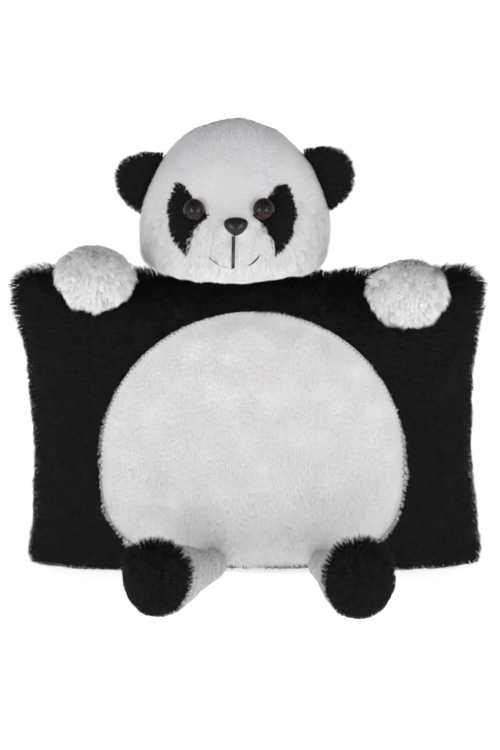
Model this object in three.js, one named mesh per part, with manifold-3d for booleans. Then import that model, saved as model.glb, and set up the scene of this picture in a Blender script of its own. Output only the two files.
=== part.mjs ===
// A plush panda cushion: a stuffed rectangular cushion with a panda's head, arms and legs sewn on.
// Millimetres, +Z up, the face towards -Y. Left and right are as seen from the front. The origin is
// on the floor, under the front panel. Every plush surface is drawn at the middle of its pile.

import * as THREE from "three";
import { mergeVertices } from "three/addons/utils/BufferGeometryUtils.js";
import Module from "manifold-3d";

const wasm = await Module();
wasm.setup();

// ---- Driving dimensions ----

const GAP = 0.35; // between two pieces that touch
const COVER = 7; // plush cover on the cushion and the head: backing and half the pile
const LIMB_COVER = 5;
const PATCH = 5; // plush appliqué sewn on top of a cover

const CUSHION = {
  halfWidth: 237,
  halfHeight: 167,
  middleZ: 146,
  seamY: 22, // the plane where the front and back panels are sewn together
  edge: 10, // half the thickness at the seam
  bulge: 56, // how much more there is at the middle
  waist: 0.075, // how far the sides pull in at mid-height, as a share
  lean: 4, // how far the top sits to the left of the middle, and the bottom to the right
  crownX: 2.4, // powers that spread the fullness across the panels, and up and down them
  crownTop: 2.2,
  crownBottom: 3, // the stuffing settles
  topDip: 14,
  sideRound: 0.025, // how far the corners are cut back, as shares
  topRound: 0.07,
  bottomRound: 0.09, // lifts the bottom corners off the floor
  cornerPower: 10, // how close to a corner that starts
};

const BELLY = {
  x: 1.5,
  z: 115, // the level where the patch is widest
  halfWidth: 151.5,
  top: { height: 155, power: 2.15 },
  bottom: { height: 107, power: 2.8 },
  seamWidth: 2.5,
};
const THREAD = 1; // radius of the stitching round the belly
const THREAD_OPENING = 0.03; // between the two ends of that stitching, as an angle

const HEAD = {
  x: -15,
  y: -5,
  z: 352, // the level of the cheeks, where the head is widest
  halfWidth: 92,
  halfDepth: 68,
  crown: 107, // from the cheeks up to the top
  jaw: 50, // from the cheeks down to the neck
};
const MUZZLE = { x: -2, z: -10, out: 9, width: 40, height: 28 }; // x and z from the head's centre

const EYE = { radius: 10, dome: 8, edge: 0.8, seat: 3, flange: 1.6, flangeInset: 0.5 };
const STEM = { radius: 2.4, length: 17 }; // of a plastic eye or nose, inside the stuffing
const NOSE = {
  x: 0.5,
  z: 11.5,
  halfWidth: 11.5,
  top: 7,
  bottom: -10,
  bulge: 3,
  hollow: 2, // how far the sides draw in towards the tip
  out: 5,
  round: 3.5,
};
const WASHER = { radius: 8, low: -15, thickness: 2 };

const FACE = {
  left: { eye: [-37.5, 25.5], outwards: -1, patch: { shift: 0, stretch: 1 } },
  right: { eye: [26.2, 26.5], outwards: 1, patch: { shift: 3, stretch: 1.1 } },
};
// Places round an eye patch, outwards and upwards from the eye's centre: a drop that hangs from
// the top corner, with a point under the eye towards the nose.
const PATCH_OUTLINE = [
  [13, 21],
  [21, 9],
  [22.5, -8],
  [18, -29],
  [7, -41],
  [3.5, -28],
  [-3, -14],
  [-12.5, -6],
  [-7, 4],
  [4, 12.5],
];

const EAR = { rise: 31, reach: 31, round: 6, core: 1, clearance: 0.8 };
const EARS = { left: { level: 43, sign: -1 }, right: { level: 48, sign: 1 } }; // level from the cheeks

const ARM = { root: 22, sleeve: 30, rim: 26, pad: 30, tip: 57, widen: 1.2 };
const ARMS = {
  left: { pivot: [-149, -35, 301], towards: [0.04, -1, 0.4] },
  right: { pivot: [149, -36, 298], towards: [-0.05, -1, 0.06] },
};

const LEG = { root: 17, sleeve: 105, rim: 36.5, pad: 34, tip: 126, widen: 1 };
const LEGS = {
  left: { pivot: [-45, -56, 20.5], towards: [-0.46, -1, 0.19] },
  right: { pivot: [75, -55, 20.5], towards: [0.26, -1, 0.19] },
};

// ---- Materials ----

const plush = (color) => new THREE.MeshStandardMaterial({ color, roughness: 0.95, metalness: 0 });
const plastic = (color, roughness) => new THREE.MeshStandardMaterial({ color, roughness, metalness: 0 });

const WHITE_PLUSH = "#dedcda";
const BLACK_PLUSH = "#141213";
const STUFFING = "#f2f1ec";
const BLACK_THREAD = "#1c1a1b";

// ---- Scene and solids ----

const panda = new THREE.Group();

function addPart(name, geometry, material, parent = panda) {
  const mesh = new THREE.Mesh(geometry, material);
  mesh.name = name;
  parent.add(mesh);
  return mesh;
}

// The geometry with one vertex at each place, so that its faces share their corners.
function welded(geometry) {
  const bare = geometry.clone();
  bare.deleteAttribute("normal");
  bare.deleteAttribute("uv");
  return mergeVertices(bare, 1e-4);
}

function solidFrom(geometry) {
  const merged = welded(geometry);
  const vertProperties = new Float32Array(merged.attributes.position.array);
  const triVerts = new Uint32Array(merged.index.array);
  return new wasm.Manifold(new wasm.Mesh({ numProp: 3, vertProperties, triVerts }));
}

function geometryFrom(solid) {
  const mesh = solid.getMesh();
  const geometry = new THREE.BufferGeometry();
  geometry.setAttribute("position", new THREE.BufferAttribute(mesh.vertProperties, 3));
  geometry.setIndex(new THREE.BufferAttribute(mesh.triVerts, 1));
  return geometry;
}

// A box of 1 m that fills one side of a plane, for cutting solids in half.
const SPAN = 1000;
const inFrontOf = (y) => solidFrom(new THREE.BoxGeometry(SPAN, SPAN, SPAN).translate(0, y - SPAN / 2, 0));
const behind = (y) => solidFrom(new THREE.BoxGeometry(SPAN, SPAN, SPAN).translate(0, y + SPAN / 2, 0));
const above = (z) => solidFrom(new THREE.BoxGeometry(SPAN, SPAN, SPAN).translate(0, 0, z + SPAN / 2));

// A solid of revolution about +Z, from [radius, z] points that start and end on the axis.
function turned(points, segments = 14) {
  const profile = points.map(([radius, z]) => new THREE.Vector2(radius, z));
  return new THREE.LatheGeometry(profile, segments).rotateX(Math.PI / 2);
}

// Points on an elliptical arc in the [radius, z] plane, centred on the axis.
function arc(radius, height, middle, from, to, steps) {
  const points = [];
  for (let i = 0; i <= steps; i++) {
    const angle = THREE.MathUtils.degToRad(from + ((to - from) * i) / steps);
    const onAxis = Math.abs(Math.cos(angle)) < 1e-9;
    points.push([onAxis ? 0 : radius * Math.cos(angle), middle + height * Math.sin(angle)]);
  }
  return points;
}

// A closed outline in X and Z, standing as a prism that reaches from the seam plane to the front.
function prism(outline, reach = 200) {
  const shape = new THREE.Shape(outline.map(([x, z]) => new THREE.Vector2(x, z)));
  const geometry = new THREE.ExtrudeGeometry(shape, { depth: reach, bevelEnabled: false });
  return solidFrom(geometry.rotateX(Math.PI / 2));
}

// A round thread along a line of points.
function thread(points, radius, steps) {
  const section = new THREE.Shape().absarc(0, 0, radius, 0, 2 * Math.PI);
  const extrudePath = new THREE.CatmullRomCurve3(points.map((p) => new THREE.Vector3(...p)));
  return new THREE.ExtrudeGeometry(section, { steps, extrudePath, curveSegments: 3 });
}

// ---- Cushion ----

// Where the grid point (u, w), from -1 to 1 each way, lies on a cushion smaller all round by inset.
function cushionPoint(u, w, inset) {
  const { cornerPower, crownX, crownTop, crownBottom } = CUSHION;
  const side = 1 - CUSHION.waist * (1 - w * w) - CUSHION.sideRound * w ** cornerPower;
  const round = w > 0 ? CUSHION.topRound : CUSHION.bottomRound;
  const dip = CUSHION.topDip * Math.max(w, 0) * (1 - u * u);
  const crownZ = w > 0 ? crownTop : crownBottom;
  const crown = Math.sqrt((1 - Math.abs(u) ** crownX) * (1 - Math.abs(w) ** crownZ));
  return {
    x: (CUSHION.halfWidth - inset) * u * side - CUSHION.lean * w,
    z: CUSHION.middleZ + (CUSHION.halfHeight - inset) * w * (1 - round * u ** cornerPower) - dip,
    half: CUSHION.edge - inset + CUSHION.bulge * crown,
  };
}

function cushionSolid(inset, columns, rows) {
  const geometry = welded(new THREE.BoxGeometry(2, 2, 2, columns, 1, rows));
  const position = geometry.attributes.position;
  for (let i = 0; i < position.count; i++) {
    const u = Math.sin((position.getX(i) * Math.PI) / 2); // closer together near the seam
    const w = Math.sin((position.getZ(i) * Math.PI) / 2);
    const point = cushionPoint(u, w, inset);
    position.setXYZ(i, point.x, CUSHION.seamY + position.getY(i) * point.half, point.z);
  }
  return solidFrom(geometry);
}

// The front panel's Y at a place in X and Z.
function cushionFront(x, z) {
  let u = 0;
  let w = 0;
  for (let i = 0; i < 12; i++) {
    const point = cushionPoint(u, w, 0);
    u = THREE.MathUtils.clamp(u + (x - point.x) / CUSHION.halfWidth, -1, 1);
    w = THREE.MathUtils.clamp(w + (z - point.z) / CUSHION.halfHeight, -1, 1);
  }
  return CUSHION.seamY - cushionPoint(u, w, 0).half;
}

function bellyOutline(extra, count, from = 0, to = 2 * Math.PI) {
  const points = [];
  for (let i = 0; i < count; i++) {
    const angle = from + ((to - from) * i) / count; // from straight down, towards +X
    const { height, power } = Math.cos(angle) < 0 ? BELLY.top : BELLY.bottom;
    const along = (value) => Math.sign(value) * Math.abs(value) ** (2 / power);
    const x = BELLY.x + (BELLY.halfWidth + extra) * along(Math.sin(angle));
    const z = BELLY.z - (height + extra) * along(Math.cos(angle));
    points.push([x, z]);
  }
  return points;
}

function addCushion() {
  const outside = cushionSolid(0, 20, 14).intersect(above(0));
  const hollow = cushionSolid(COVER, 14, 10).intersect(above(COVER));
  const stuffing = cushionSolid(COVER + GAP, 14, 10).intersect(above(COVER + GAP));
  const cover = outside.subtract(hollow);
  const front = cover.intersect(inFrontOf(CUSHION.seamY - GAP / 2));
  const back = cover.intersect(behind(CUSHION.seamY + GAP / 2));
  addPart("body_front_panel", geometryFrom(front), plush(BLACK_PLUSH));
  addPart("body_back_panel", geometryFrom(back), plush(BLACK_PLUSH));
  addPart("body_filling", geometryFrom(stuffing), plush(STUFFING));

  const patch = cushionSolid(-GAP - PATCH, 20, 14)
    .intersect(prism(bellyOutline(0, 40)))
    .subtract(cushionSolid(-GAP, 20, 14));
  addPart("belly_patch", geometryFrom(patch), plush(WHITE_PLUSH));

  const seam = bellyOutline(BELLY.seamWidth, 48, THREAD_OPENING, 2 * Math.PI - THREAD_OPENING);
  const lift = GAP + THREAD * 1.5;
  const line = seam.map(([x, z]) => [x, cushionFront(x, z) - lift, z]);
  addPart("belly_stitching", thread(line, THREAD, 52), plush(BLACK_THREAD));
}

// ---- Head ----

const muzzleAt = (x, z) =>
  MUZZLE.out * Math.exp(-(((x - MUZZLE.x) / MUZZLE.width) ** 2) - ((z - MUZZLE.z) / MUZZLE.height) ** 2);

// An egg-shaped crown over a squarer jaw: each ring of a sphere is moved to its place on the head.
function headSolid(inset, columns, rows) {
  const geometry = welded(new THREE.SphereGeometry(1, columns, rows).rotateX(Math.PI / 2));
  const position = geometry.attributes.position;
  for (let i = 0; i < position.count; i++) {
    const level = position.getZ(i);
    const ring = Math.hypot(position.getX(i), position.getY(i));
    const radius = level > 0 || ring < 1e-6 ? ring : Math.sqrt(ring);
    const height = level > 0 ? (HEAD.crown - inset) * level : -(HEAD.jaw - inset) * Math.sqrt(-level);
    const spread = ring < 1e-6 ? 0 : radius / ring;
    const x = (HEAD.halfWidth - inset) * position.getX(i) * spread;
    const y = (HEAD.halfDepth - inset) * position.getY(i) * spread;
    const out = y < 0 ? muzzleAt(x, height) : 0;
    position.setXYZ(i, HEAD.x + x, HEAD.y + y - out, HEAD.z + height);
  }
  return solidFrom(geometry);
}

// A point on the front of the head, x and z from its centre, standing out from the pile by lift.
function facePoint(x, z, lift = 0) {
  const ring = z > 0 ? Math.sqrt(1 - (z / HEAD.crown) ** 2) : (1 - (z / HEAD.jaw) ** 4) ** 0.25;
  const depth = Math.sqrt(ring ** 2 - (x / HEAD.halfWidth) ** 2);
  const y = -HEAD.halfDepth * depth - muzzleAt(x, z) - lift;
  return new THREE.Vector3(HEAD.x + x, HEAD.y + y, HEAD.z + z);
}

function faceNormal(x, z) {
  const across = facePoint(x + 1, z).sub(facePoint(x - 1, z));
  const up = facePoint(x, z + 1).sub(facePoint(x, z - 1));
  return across.cross(up).normalize();
}

// A group on the face whose +Z points straight out of the fur.
function faceFrame([x, z], lift) {
  const frame = new THREE.Group();
  const normal = faceNormal(x, z);
  frame.position.copy(facePoint(x, z)).addScaledVector(normal, lift);
  frame.quaternion.setFromUnitVectors(new THREE.Vector3(0, 0, 1), normal);
  panda.add(frame);
  frame.updateMatrixWorld();
  return frame;
}

const placed = (geometry, frame) => solidFrom(geometry.clone().applyMatrix4(frame.matrixWorld));

function rodAlongZ(radius, from, to) {
  const rod = new THREE.CylinderGeometry(radius, radius, to - from, 16);
  return rod.rotateX(Math.PI / 2).translate(0, 0, (from + to) / 2);
}

// The plug of space that a stem and its washer take up under the fur.
function stemSpace(frame) {
  const hole = placed(rodAlongZ(STEM.radius + GAP, -STEM.length - 1, 1), frame);
  const top = WASHER.low + WASHER.thickness + 1;
  const pocket = placed(rodAlongZ(WASHER.radius + GAP, -STEM.length - 1, top), frame);
  return { hole, pocket };
}

// A flat ring on the stem, inside the stuffing, that locks a plastic eye or nose in the cloth.
function washerGeometry() {
  const inner = STEM.radius + GAP;
  const { radius, low, thickness } = WASHER;
  const high = low + thickness;
  return turned([[inner, low], [radius, low], [radius, high], [inner, high], [inner, low]]);
}

function eyePatchOutline({ eye, outwards, patch }) {
  const corners = PATCH_OUTLINE.map(([out, up]) => {
    const across = outwards * (patch.shift + patch.stretch * out);
    return new THREE.Vector3(HEAD.x + eye[0] + across, 0, HEAD.z + eye[1] + up);
  });
  const curve = new THREE.CatmullRomCurve3(corners, true);
  const points = curve.getPoints(30).slice(1).map(({ x, z }) => [x, z]);
  return outwards < 0 ? points : points.reverse();
}

function addEye(side, frame) {
  const rim = EYE.radius;
  const backing = EYE.flange + GAP;
  const lens = [
    [0, backing],
    [rim, backing],
    ...arc(rim, EYE.dome, backing + EYE.edge, 0, 90, 5),
  ];
  addPart(`eye_${side}_lens`, turned(lens), plastic("#3a1c12", 0.08), frame);
  const stem = [
    [0, -STEM.length],
    [STEM.radius, -STEM.length],
    [STEM.radius, 0],
    [rim - EYE.flangeInset, 0],
    [rim - EYE.flangeInset, EYE.flange],
    [0, EYE.flange],
  ];
  addPart(`eye_${side}_stem`, turned(stem), plastic("#0b0b0c", 0.3), frame);
  addPart(`eye_${side}_washer`, washerGeometry(), plastic("#e8e6df", 0.5), frame);
}

function addNose(frame) {
  const { halfWidth, top, bottom, bulge, hollow, out, round } = NOSE;
  const shape = new THREE.Shape();
  shape.moveTo(-halfWidth, top - bulge);
  shape.quadraticCurveTo(-halfWidth, top, -halfWidth + bulge, top + 1);
  shape.quadraticCurveTo(0, top + bulge, halfWidth - bulge, top + 1);
  shape.quadraticCurveTo(halfWidth, top, halfWidth, top - bulge);
  shape.quadraticCurveTo(halfWidth - hollow, bottom / 2, bulge, bottom);
  shape.quadraticCurveTo(0, bottom - bulge / 2, -bulge, bottom);
  shape.quadraticCurveTo(-halfWidth + hollow, bottom / 2, -halfWidth, top - bulge);
  const bevel = { bevelThickness: round, bevelSize: bulge, bevelOffset: -bulge, bevelSegments: 3 };
  const body = new THREE.ExtrudeGeometry(shape, { depth: out - bulge, curveSegments: 4, ...bevel });
  const pad = solidFrom(body.translate(0, 0, round)).trimByPlane([0, 0, 1], GAP);
  const stem = solidFrom(rodAlongZ(STEM.radius, -STEM.length, 2));
  addPart("nose", geometryFrom(pad.add(stem)), plastic("#0a0a0b", 0.12), frame);
  addPart("nose_washer", washerGeometry(), plastic("#e8e6df", 0.5), frame);
}

function addHead() {
  const noseFrame = faceFrame([NOSE.x, NOSE.z], GAP);
  const noseSpace = stemSpace(noseFrame);
  const holes = [noseSpace.hole];
  const pockets = [noseSpace.pocket];
  const raised = headSolid(-GAP - PATCH, 24, 16);
  const surface = headSolid(-GAP, 24, 16);
  for (const [side, places] of Object.entries(FACE)) {
    const frame = faceFrame(places.eye, GAP + PATCH - EYE.seat);
    const space = stemSpace(frame);
    const seat = placed(rodAlongZ(EYE.radius + GAP, -GAP, 20), frame);
    const cloth = raised
      .intersect(prism(eyePatchOutline(places)))
      .subtract(surface)
      .subtract(seat)
      .subtract(space.hole);
    addPart(`eye_patch_${side}`, geometryFrom(cloth), plush(BLACK_PLUSH));
    addEye(side, frame);
    holes.push(space.hole, seat);
    pockets.push(space.pocket);
  }

  let cover = headSolid(0, 24, 16).subtract(headSolid(COVER, 16, 10));
  let stuffing = headSolid(COVER + GAP, 16, 10);
  for (const hole of holes) {
    cover = cover.subtract(hole);
    stuffing = stuffing.subtract(hole);
  }
  for (const pocket of pockets) {
    stuffing = stuffing.subtract(pocket);
  }
  const face = cover.intersect(inFrontOf(HEAD.y - GAP / 2));
  const back = cover.intersect(behind(HEAD.y + GAP / 2));
  addPart("head_face_panel", geometryFrom(face), plush(WHITE_PLUSH));
  addPart("head_back_panel", geometryFrom(back), plush(WHITE_PLUSH));
  addPart("head_filling", geometryFrom(stuffing), plush(STUFFING));
  addNose(noseFrame);
}

// The embroidered line under the nose and the two strokes of the mouth, lying on the pile.
function addMouth() {
  const stroke = (places, radius) => {
    const points = places.map(([x, z]) => facePoint(x, z, radius + 1).toArray());
    return thread(points, radius, 12);
  };
  const stitches = {
    philtrum_stitch: { places: [[-2.5, -3], [-3.5, -14], [-4, -24]], radius: 1.2 },
    mouth_stitch_left: { places: [[-7, -24.5], [-17, -21.5], [-27, -15]], radius: 0.8 },
    mouth_stitch_right: { places: [[-1, -25], [11, -22.5], [23, -15]], radius: 0.8 },
  };
  for (const [name, { places, radius }] of Object.entries(stitches)) {
    addPart(name, stroke(places, radius), plush(BLACK_THREAD));
  }
}

// ---- Ears ----

// A half-round ear of two panels. Its straight edge runs along the side of the head.
function addEar(side) {
  const { level, sign } = EARS[side];
  const ring = Math.sqrt(1 - (level / HEAD.crown) ** 2);
  const root = new THREE.Vector3(HEAD.x + sign * HEAD.halfWidth * ring, HEAD.y, HEAD.z + level);
  const slope = new THREE.Vector2((sign * ring) / HEAD.halfWidth, level / HEAD.crown ** 2);
  slope.normalize();
  const outwards = new THREE.Vector3(slope.x, 0, slope.y);
  const backwards = new THREE.Vector3(0, 1, 0);
  const frame = new THREE.Group();
  const basis = new THREE.Matrix4().makeBasis(outwards, backwards.clone().cross(outwards), backwards);
  frame.quaternion.setFromRotationMatrix(basis);
  frame.position.copy(root);
  panda.add(frame);

  const hinge = EAR.round + EAR.clearance;
  const shape = new THREE.Shape();
  shape.moveTo(hinge, -EAR.rise + EAR.round);
  shape.absellipse(
    hinge, 0, EAR.reach - hinge - EAR.round, EAR.rise - EAR.round, -Math.PI / 2, Math.PI / 2,
  );
  const bevel = { bevelThickness: EAR.round, bevelSize: EAR.round, bevelSegments: 2 };
  const cloth = new THREE.ExtrudeGeometry(shape, { depth: EAR.core, curveSegments: 9, ...bevel });
  const ear = solidFrom(cloth.translate(0, 0, -EAR.core / 2));
  const towardsFront = ear.trimByPlane([0, 0, -1], GAP / 2);
  const towardsBack = ear.trimByPlane([0, 0, 1], GAP / 2);
  addPart(`ear_${side}_front`, geometryFrom(towardsFront), plush(BLACK_PLUSH), frame);
  addPart(`ear_${side}_back`, geometryFrom(towardsBack), plush(BLACK_PLUSH), frame);
}

// ---- Arms and legs ----

// A stub sewn to the cushion: a sleeve with a rounded root, a pad over its end, and stuffing.
function addLimb(names, size, { pivot, towards }, colours) {
  const frame = new THREE.Group();
  frame.position.set(...pivot);
  const direction = new THREE.Vector3(...towards).normalize();
  frame.quaternion.setFromUnitVectors(new THREE.Vector3(0, 0, 1), direction);
  panda.add(frame);

  const { root, sleeve, rim, pad, tip, widen } = size;
  const inner = root - LIMB_COVER;
  const innerRim = rim - LIMB_COVER;
  const cup = [
    ...arc(root, root, 0, -90, 0, 3),
    [rim, sleeve],
    [innerRim, sleeve],
    ...arc(inner, inner, 0, 0, -90, 3),
  ];
  const cap = [
    [0, tip - LIMB_COVER],
    ...arc(innerRim, tip - LIMB_COVER - sleeve, sleeve, 90, 0, 3).slice(1, -1),
    [innerRim, sleeve + GAP],
    ...arc(pad, tip - sleeve - GAP, sleeve + GAP, 0, 90, 4),
  ];
  const core = inner - GAP;
  const coreRim = innerRim - GAP;
  const stuffing = [
    ...arc(core, core, 0, -90, 0, 3),
    [coreRim, sleeve],
    ...arc(coreRim, tip - LIMB_COVER - GAP - sleeve, sleeve, 0, 90, 3).slice(1),
  ];
  const profiles = [cup, cap, stuffing];
  profiles.forEach((profile, i) => {
    const geometry = turned(profile).scale(widen, 1, 1);
    addPart(names[i], geometry, plush(colours[i]), frame);
  });
}

// ---- Assembly ----

addCushion();
addHead();
addMouth();
addEar("left");
addEar("right");
for (const side of ["left", "right"]) {
  const armNames = [`arm_${side}_sleeve`, `arm_${side}_paw`, `arm_${side}_filling`];
  addLimb(armNames, ARM, ARMS[side], [BLACK_PLUSH, WHITE_PLUSH, STUFFING]);
  const legNames = [`leg_${side}_sleeve`, `leg_${side}_sole`, `leg_${side}_filling`];
  addLimb(legNames, LEG, LEGS[side], [WHITE_PLUSH, BLACK_PLUSH, STUFFING]);
}

export default panda;
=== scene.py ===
# A plush panda cushion: stuffed covers with their pile, plastic eyes and nose, and the stitching.
# Metres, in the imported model's frame: +Z up, the face towards -Y, left and right as seen from the
# front. The CAD covers are drawn at the middle of the pile, so each cover here is a little smaller
# and its pile stands a little proud of them.

import math

import bpy
import numpy as np
from mathutils import Matrix, Vector
from mathutils.bvhtree import BVHTree


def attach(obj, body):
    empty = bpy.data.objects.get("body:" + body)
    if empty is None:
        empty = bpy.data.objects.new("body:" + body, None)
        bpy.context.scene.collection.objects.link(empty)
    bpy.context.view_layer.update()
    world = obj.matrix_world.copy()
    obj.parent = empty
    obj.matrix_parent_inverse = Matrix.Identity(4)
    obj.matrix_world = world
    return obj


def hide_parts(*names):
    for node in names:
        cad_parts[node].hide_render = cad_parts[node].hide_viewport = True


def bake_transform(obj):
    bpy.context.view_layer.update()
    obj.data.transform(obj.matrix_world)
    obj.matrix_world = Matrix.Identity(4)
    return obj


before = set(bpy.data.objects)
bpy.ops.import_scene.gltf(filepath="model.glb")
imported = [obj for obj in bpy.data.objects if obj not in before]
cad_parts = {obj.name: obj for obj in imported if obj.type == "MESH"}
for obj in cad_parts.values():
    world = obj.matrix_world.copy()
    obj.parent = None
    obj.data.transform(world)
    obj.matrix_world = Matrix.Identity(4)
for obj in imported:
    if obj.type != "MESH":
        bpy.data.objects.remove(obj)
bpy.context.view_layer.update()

SCENE = bpy.context.scene

# ---- Dimensions ----

CUSHION = dict(
    half_width=0.237, half_height=0.167, middle=0.146, seam=0.022, edge=0.010, bulge=0.056,
    waist=0.075, lean=0.004, crown_x=2.4, crown_top=2.2, crown_bottom=3.0, dip=0.014,
    side_round=0.025, top_round=0.07, bottom_round=0.09, corner_power=10,
)
BELLY = dict(x=0.0015, z=0.115, half_width=0.1515, heights=(0.107, 0.155), powers=(2.8, 2.15))
HEAD = dict(x=-0.015, y=-0.005, z=0.352, half_width=0.092, half_depth=0.068, crown=0.107, jaw=0.050)
NECK_SEAM = dict(y=0.025, half_width=0.060, half_depth=0.018, down=0.0095)  # from the head's centre
MUZZLE = dict(x=-0.002, z=-0.010, out=0.009, width=0.040, height=0.028)
EYES = {
    "left": dict(eye=(-0.0375, 0.0255), outwards=-1, shift=0.0, stretch=1.0),
    "right": dict(eye=(0.0262, 0.0265), outwards=1, shift=0.003, stretch=1.1),
}
# Millimetres outwards and upwards from the eye: a drop that hangs from its top corner, with a point
# under the eye towards the nose.
EYE_PATCH = (
    (13, 21), (21, 9), (22.5, -8), (18, -29), (7, -41),
    (3.5, -28), (-3, -14), (-12.5, -6), (-7, 4), (4, 12.5),
)
PATCH_CUT = 0.95  # how much smaller an eye patch's cloth is than the outline of its pile
LENS = dict(radius=0.0104, dome=0.008, wall=0.0075, lift=0.0036)
NOSE = dict(x=0.0008, z=0.0112, half_width=0.0125, half_height=0.0098, out=0.0085, wall=0.005)
EAR = dict(rise=0.031, reach=0.031, hinge=0.0068, root=-0.005, half_depth=0.0065)
EARS = {"left": dict(level=0.043, sign=-1), "right": dict(level=0.048, sign=1)}
ARM = dict(reach=0.034, root=0.022, sleeve=0.030, rim=0.026, pad=0.030, tip=0.057, widen=1.2)
LEG = dict(reach=0.034, root=0.017, sleeve=0.105, rim=0.0365, pad=0.034, tip=0.126, widen=1.0)
LIMBS = {
    "arm_left": (ARM, (-0.149, -0.035, 0.301), (0.04, -1, 0.4)),
    "arm_right": (ARM, (0.149, -0.036, 0.298), (-0.05, -1, 0.06)),
    "leg_left": (LEG, (-0.045, -0.056, 0.0205), (-0.46, -1, 0.19)),
    "leg_right": (LEG, (0.075, -0.055, 0.0205), (0.26, -1, 0.19)),
}
INSET = dict(cushion=0.0045, head=0.0035, ear=0.003, limb=0.003)  # of each cover, inside the CAD's face
PRESSURE, FRAMES = 4, 20  # of the stuffing on a cover, and how long it works
NECK = ((-0.015, 0.0, 0.300), (-0.015, 0.0, 0.348))  # where the head's cover would start and end a bend; the head's pieces are given these places, but nothing bends them

# ---- Small helpers ----


def unit(vectors):
    return vectors / np.maximum(np.linalg.norm(vectors, axis=-1, keepdims=True), 1e-9)


def smoothstep(x, low, high):
    t = np.clip((x - low) / (high - low), 0, 1)
    return t * t * (3 - 2 * t)


def wander(points, size, seed):
    """Three smooth random numbers from about -1 to 1 at each point, changing over about size metres."""
    rng = np.random.default_rng(seed)
    total = np.zeros_like(points)
    for _ in range(5):
        waves = rng.normal(size=(3, 3)) * (math.pi / size)
        total += np.sin(points @ waves + rng.uniform(0, 2 * math.pi, 3))
    return total / 2.2


def mesh_object(name, points, faces):
    mesh = bpy.data.meshes.new(name)
    mesh.from_pydata([tuple(p) for p in points], [], [tuple(int(i) for i in f) for f in faces])
    mesh.shade_smooth()
    obj = bpy.data.objects.new(name, mesh)
    SCENE.collection.objects.link(obj)
    return obj


def coordinates(obj):
    values = np.empty(len(obj.data.vertices) * 3, np.float32)
    obj.data.vertices.foreach_get("co", values)
    return values.reshape(-1, 3).astype(float)


def set_coordinates(obj, points):
    obj.data.vertices.foreach_set("co", points.astype(np.float32).ravel())
    obj.data.update()


def apply_modifiers(obj):
    bpy.context.view_layer.update()
    evaluated = obj.evaluated_get(bpy.context.evaluated_depsgraph_get())
    mesh = bpy.data.meshes.new_from_object(evaluated)
    old = obj.data
    obj.modifiers.clear()
    obj.data = mesh
    bpy.data.meshes.remove(old)
    mesh.name = obj.name
    mesh.shade_smooth()


def discard(obj):
    mesh = obj.data
    bpy.data.objects.remove(obj)
    bpy.data.meshes.remove(mesh)


def grid_faces(rows, columns, wrap=False):
    """Faces of a grid of points stored row by row. With wrap, each row is a ring."""
    faces = []
    for r in range(rows - 1):
        for c in range(columns if wrap else columns - 1):
            d = (c + 1) % columns
            faces.append((r * columns + c, r * columns + d, (r + 1) * columns + d, (r + 1) * columns + c))
    return faces


def shell_faces(rows, columns):
    """Faces of a closed body: a front grid of points, a back one behind it, and the rim between."""
    front = grid_faces(rows, columns)
    count = rows * columns
    faces = front + [tuple(i + count for i in reversed(f)) for f in front]
    rim = list(range(columns))
    rim += [r * columns + columns - 1 for r in range(1, rows)]
    rim += [(rows - 1) * columns + c for c in range(columns - 2, -1, -1)]
    rim += [r * columns for r in range(rows - 2, 0, -1)]
    for i, j in zip(rim, rim[1:] + rim[:1]):
        faces.append((j, i, i + count, j + count))
    return faces


def disc_faces(rings, around):
    """Faces of a disc: a middle point, then rings of points that go round it anticlockwise."""
    faces = [(0, 1 + i, 1 + (i + 1) % around) for i in range(around)]
    return faces + [tuple(i + 1 for i in reversed(f)) for f in grid_faces(rings, around, wrap=True)]


def turned(profile, around, widen=1.0):
    """A closed body turned from (radius, height) pairs that start and end on the axis."""
    points = [(0, 0, profile[0][1])]
    for radius, height in profile[1:-1]:
        for i in range(around):
            angle = 2 * math.pi * i / around
            points.append((radius * math.cos(angle) * widen, radius * math.sin(angle), height))
    points.append((0, 0, profile[-1][1]))
    rings = len(profile) - 2
    faces = [tuple(i + 1 for i in f) for f in grid_faces(rings, around, wrap=True)]
    last = len(points) - 1
    for i in range(around):
        j = (i + 1) % around
        faces.append((0, 1 + j, 1 + i))
        faces.append((last, last - around + i, last - around + j))
    return np.array(points), faces


def placement(origin, z_axis):
    """A frame at origin whose +Z points along z_axis."""
    turn = Vector((0, 0, 1)).rotation_difference(Vector(z_axis).normalized())
    return Matrix.Translation(origin) @ turn.to_matrix().to_4x4()


def moved(points, matrix):
    m = np.array(matrix)
    return points @ m[:3, :3].T + m[:3, 3]


# ---- Shapes ----


def cushion_point(u, w, inset):
    """X, Z and half thickness at grid place (u, w), each from -1 to 1."""
    c = CUSHION
    side = 1 - c["waist"] * (1 - w * w) - c["side_round"] * w ** c["corner_power"]
    rounding = np.where(w > 0, c["top_round"], c["bottom_round"])
    dip = c["dip"] * np.maximum(w, 0) * (1 - u * u)
    crown_z = np.where(w > 0, c["crown_top"], c["crown_bottom"])
    crown = np.sqrt((1 - np.abs(u) ** c["crown_x"]) * (1 - np.abs(w) ** crown_z))
    x = (c["half_width"] - inset) * u * side - c["lean"] * w
    rise = (c["half_height"] - inset) * w * (1 - rounding * u ** c["corner_power"])
    return x, c["middle"] + rise - dip, c["edge"] - inset + c["bulge"] * crown


def cushion_shape(inset, columns=60, rows=44):
    a = np.sin(np.linspace(-1, 1, columns) * math.pi / 2)
    b = np.sin(np.linspace(-1, 1, rows) * math.pi / 2)
    u, w = [g.ravel() for g in np.meshgrid(a, b)]
    x, z, half = cushion_point(u, w, inset)
    front = np.stack([x, CUSHION["seam"] - half, z], 1)
    back = np.stack([x, CUSHION["seam"] + half, z], 1)
    return np.concatenate([front, back]), shell_faces(rows, columns)


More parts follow.
